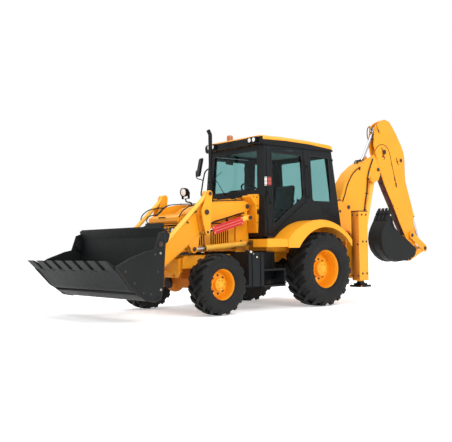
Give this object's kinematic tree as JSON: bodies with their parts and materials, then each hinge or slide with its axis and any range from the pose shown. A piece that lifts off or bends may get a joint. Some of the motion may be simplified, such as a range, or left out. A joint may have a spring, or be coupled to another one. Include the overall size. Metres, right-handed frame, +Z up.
{
  "type": "backhoe loader",
  "caption": "Four-wheel backhoe loader with a front clam bucket on linked arms, a glazed cab, two stabiliser legs and a side-shifting rear digging arm.",
  "frame": {"origin": "on the ground, under the middle of the bounding box at rest", "axes": "+X forwards to the loader bucket, +Y to the left of the machine, +Z up"},
  "size_m": [8.125, 2.4, 3.53],
  "materials": {
    "yellow_paint": "satin yellow paint",
    "charcoal_paint": "satin charcoal paint",
    "black_paint": "satin black paint",
    "bucket_steel": "worn dark paint",
    "chrome_rod": "polished",
    "cast": "cast",
    "tyre": "rubber",
    "glass": "tinted",
    "plastic": "grained",
    "fabric": "woven",
    "amber": "gloss"
  },
  "bodies": {
    "chassis": {"front_axle": "yellow_paint", "rear_axle": "cast", "main_frame": "yellow_paint", "loader_towers": "yellow_paint", "engine_block": "cast", "tanks_and_steps": "charcoal_paint", "rear_fenders": "yellow_paint", "cab_frame": "charcoal_paint", "cab_glass": "glass", "cab_roof": "yellow_paint", "cab_floor": "plastic", "dashboard_and_wheel": "plastic", "seat_base": "plastic", "seat_cushion": "fabric", "hood_cowl": "yellow_paint", "exhaust_pipe": "black_paint", "mirror_right": "plastic", "lamps": "plastic", "beacon": "amber", "rear_frame": "yellow_paint"},
    "engine_hood": {"engine_hood": "yellow_paint", "work_lamp": "plastic"},
    "knuckle_left": {"front_knuckle_left": "cast"},
    "front_wheel_left": {"front_tyre_left": "tyre", "front_rim_left": "yellow_paint"},
    "rear_wheel_left": {"rear_tyre_left": "tyre", "rear_rim_left": "yellow_paint"},
    "cab_door_left": {"cab_door_left": "charcoal_paint", "door_glass_left": "glass"},
    "stabiliser_leg_left": {"stabiliser_leg_left": "yellow_paint"},
    "knuckle_right": {"front_knuckle_right": "cast"},
    "front_wheel_right": {"front_tyre_right": "tyre", "front_rim_right": "yellow_paint"},
    "rear_wheel_right": {"rear_tyre_right": "tyre", "rear_rim_right": "yellow_paint"},
    "cab_door_right": {"cab_door_right": "charcoal_paint", "door_glass_right": "glass"},
    "stabiliser_leg_right": {"stabiliser_leg_right": "yellow_paint"},
    "loader_arms": {"loader_arms": "yellow_paint"},
    "lift_barrels": {"lift_barrels": "yellow_paint"},
    "lift_rods": {"lift_rods": "chrome_rod"},
    "tilt_levers": {"tilt_levers": "yellow_paint"},
    "tilt_links": {"tilt_links": "yellow_paint"},
    "tilt_barrels": {"tilt_barrels": "yellow_paint"},
    "tilt_rods": {"tilt_rods": "chrome_rod"},
    "loader_bucket": {"loader_bucket": "bucket_steel"},
    "bucket_jaw": {"bucket_jaw": "bucket_steel"},
    "side_shift_carriage": {"side_shift_carriage": "yellow_paint"},
    "swing_post": {"swing_post": "yellow_paint"},
    "boom": {"boom": "yellow_paint"},
    "boom_barrel": {"boom_barrel": "yellow_paint"},
    "boom_rod": {"boom_rod": "chrome_rod"},
    "dipper_barrel": {"dipper_barrel": "yellow_paint"},
    "dipper_rod": {"dipper_rod": "chrome_rod"},
    "dipper": {"dipper": "yellow_paint"},
    "bucket_barrel": {"bucket_barrel": "yellow_paint"},
    "bucket_rod": {"bucket_rod": "chrome_rod"},
    "bucket_lever": {"bucket_lever": "yellow_paint"},
    "bucket_link": {"bucket_link": "yellow_paint"},
    "backhoe_bucket": {"backhoe_bucket": "bucket_steel"}
  },
  "joints": [
    {"name": "steer_left", "type": "hinge", "parent": "chassis", "child": "knuckle_left", "pos_m": [1.9895, 0.7, 0.465], "axis": [0, 0, 1], "range_deg": [-30, 30]},
    {"name": "front_wheel_left_spin", "type": "hinge", "parent": "knuckle_left", "child": "front_wheel_left", "pos_m": [1.9895, 0.937, 0.465], "axis": [0, 1, 0], "continuous": true},
    {"name": "rear_wheel_left_spin", "type": "hinge", "parent": "chassis", "child": "rear_wheel_left", "pos_m": [-0.2755, 0.926, 0.63], "axis": [0, 1, 0], "continuous": true},
    {"name": "steer_right", "type": "hinge", "parent": "chassis", "child": "knuckle_right", "pos_m": [1.9895, -0.7, 0.465], "axis": [0, 0, 1], "range_deg": [-30, 30]},
    {"name": "front_wheel_right_spin", "type": "hinge", "parent": "knuckle_right", "child": "front_wheel_right", "pos_m": [1.9895, -0.937, 0.465], "axis": [0, 1, 0], "continuous": true},
    {"name": "rear_wheel_right_spin", "type": "hinge", "parent": "chassis", "child": "rear_wheel_right", "pos_m": [-0.2755, -0.926, 0.63], "axis": [0, 1, 0], "continuous": true},
    {"name": "cab_door_left_hinge", "type": "hinge", "parent": "chassis", "child": "cab_door_left", "pos_m": [-0.1855, 0.82, 1.19], "axis": [0, -0.057, 0.9984], "range_deg": [0, 80]},
    {"name": "cab_door_right_hinge", "type": "hinge", "parent": "chassis", "child": "cab_door_right", "pos_m": [-0.1855, -0.82, 1.19], "axis": [0, -0.057, -0.9984], "range_deg": [0, 80]},
    {"name": "engine_hood_hinge", "type": "hinge", "parent": "chassis", "child": "engine_hood", "pos_m": [1.1525, 0, 1.803], "axis": [0, -1, 0], "range_deg": [0, 45]},
    {"name": "loader_lift", "type": "hinge", "parent": "chassis", "child": "loader_arms", "pos_m": [0.9845, 0, 1.69], "axis": [0, -1, 0], "range_deg": [-10, 72]},
    {"name": "bucket_tilt", "type": "hinge", "parent": "loader_arms", "child": "loader_bucket", "pos_m": [3.0045, 0, 0.6], "axis": [0, 1, 0], "range_deg": [-5, 80]},
    {"name": "bucket_jaw_hinge", "type": "hinge", "parent": "loader_bucket", "child": "bucket_jaw", "pos_m": [3.1995, 0, 1.08], "axis": [0, -1, 0], "range_deg": [0, 70]},
    {"name": "lift_barrels_swing", "type": "hinge", "parent": "chassis", "child": "lift_barrels", "pos_m": [0.9645, 0, 1.08], "axis": [0, -1, 0], "range_deg": [-8.9, 61]},
    {"name": "lift_rods_slide", "type": "slide", "parent": "lift_barrels", "child": "lift_rods", "axis": [0.9975, 0, -0.0706], "range_m": [-0.0977, 0.6784]},
    {"name": "tilt_levers_swing", "type": "hinge", "parent": "loader_arms", "child": "tilt_levers", "pos_m": [1.9545, 0, 1.57], "axis": [0, 1, 0], "range_deg": [-5.5, 80.5]},
    {"name": "tilt_links_swing", "type": "hinge", "parent": "tilt_levers", "child": "tilt_links", "pos_m": [1.8845, 0, 1.86], "axis": [0, 1, 0], "range_deg": [-80.5, 5.5]},
    {"name": "tilt_barrels_swing", "type": "hinge", "parent": "loader_arms", "child": "tilt_barrels", "pos_m": [1.0345, 0, 1.5], "axis": [0, -1, 0], "range_deg": [-1.31, 13.39]},
    {"name": "tilt_rods_slide", "type": "slide", "parent": "tilt_barrels", "child": "tilt_rods", "axis": [0.9662, 0, -0.2577], "range_m": [-0.3527, 0.0258]},
    {"name": "side_shift", "type": "slide", "parent": "chassis", "child": "side_shift_carriage", "axis": [0, 1, 0], "range_m": [-1.02, 0.12]},
    {"name": "swing", "type": "hinge", "parent": "side_shift_carriage", "child": "swing_post", "pos_m": [-1.5355, 0.45, 0.8], "axis": [0, 0, 1], "range_deg": [-88, 88]},
    {"name": "boom_lower", "type": "hinge", "parent": "swing_post", "child": "boom", "pos_m": [-1.7455, 0.45, 0.88], "axis": [0, -1, 0], "range_deg": [0, 95]},
    {"name": "dipper_reach", "type": "hinge", "parent": "boom", "child": "dipper", "pos_m": [-2.7255, 0.45, 2.87], "axis": [0, 1, 0], "range_deg": [-8, 85]},
    {"name": "digging_bucket_open", "type": "hinge", "parent": "dipper", "child": "backhoe_bucket", "pos_m": [-3.6655, 0.45, 0.91], "axis": [0, 1, 0], "range_deg": [0, 135]},
    {"name": "boom_barrel_swing", "type": "hinge", "parent": "boom", "child": "boom_barrel", "pos_m": [-2.4655, 0.45, 2.5], "axis": [0, -1, 0], "range_deg": [-6.36, 0.5]},
    {"name": "boom_rod_slide", "type": "slide", "parent": "boom_barrel", "child": "boom_rod", "axis": [0.2716, 0, -0.9624], "range_m": [-0.6155, 0.004]},
    {"name": "dipper_barrel_swing", "type": "hinge", "parent": "boom", "child": "dipper_barrel", "pos_m": [-1.5455, 0.45, 1.74], "axis": [0, -1, 0], "range_deg": [-0.65, 2.07]},
    {"name": "dipper_rod_slide", "type": "slide", "parent": "dipper_barrel", "child": "dipper_rod", "axis": [-0.5261, 0, 0.8504], "range_m": [-0.6511, 0.0649]},
    {"name": "bucket_lever_swing", "type": "hinge", "parent": "dipper", "child": "bucket_lever", "pos_m": [-3.5505, 0.45, 1.212], "axis": [0, 1, 0], "range_deg": [-0.5, 54.45]},
    {"name": "bucket_link_swing", "type": "hinge", "parent": "bucket_lever", "child": "bucket_link", "pos_m": [-3.9905, 0.45, 0.942], "axis": [0, 1, 0], "range_deg": [-0.5, 9.07]},
    {"name": "bucket_barrel_swing", "type": "hinge", "parent": "dipper", "child": "bucket_barrel", "pos_m": [-3.2855, 0.45, 2.74], "axis": [0, -1, 0], "range_deg": [-9.11, 0.5]},
    {"name": "bucket_rod_slide", "type": "slide", "parent": "bucket_barrel", "child": "bucket_rod", "axis": [-0.365, 0, -0.931], "range_m": [-0.3951, 0.004]},
    {"name": "stabiliser_left_down", "type": "slide", "parent": "chassis", "child": "stabiliser_leg_left", "axis": [0, 0, -1], "range_m": [0, 0.55]},
    {"name": "stabiliser_right_down", "type": "slide", "parent": "chassis", "child": "stabiliser_leg_right", "axis": [0, 0, -1], "range_m": [0, 0.55]}
  ],
  "couplings": [
    {"joint": "steer_right", "follows": "steer_left", "ratio": 1},
    {"joint": "lift_barrels_swing", "follows": "loader_lift", "ratio": 0.84034},
    {"joint": "lift_rods_slide", "follows": "loader_lift", "m_per_rad": 0.53664},
    {"joint": "tilt_levers_swing", "follows": "bucket_tilt", "ratio": 1},
    {"joint": "tilt_links_swing", "follows": "bucket_tilt", "ratio": -1},
    {"joint": "tilt_barrels_swing", "follows": "bucket_tilt", "ratio": 0.16109},
    {"joint": "tilt_rods_slide", "follows": "bucket_tilt", "m_per_rad": -0.2497},
    {"joint": "boom_barrel_swing", "follows": "boom_lower", "ratio": -0.061692},
    {"joint": "boom_rod_slide", "follows": "boom_lower", "m_per_rad": -0.36879},
    {"joint": "dipper_barrel_swing", "follows": "dipper_reach", "ratio": 0.018526},
    {"joint": "dipper_rod_slide", "follows": "dipper_reach", "m_per_rad": -0.43622},
    {"joint": "bucket_lever_swing", "follows": "digging_bucket_open", "ratio": 0.39962},
    {"joint": "bucket_link_swing", "follows": "digging_bucket_open", "ratio": 0.06346},
    {"joint": "bucket_barrel_swing", "follows": "digging_bucket_open", "ratio": -0.063756},
    {"joint": "bucket_rod_slide", "follows": "digging_bucket_open", "m_per_rad": -0.166}
  ]
}
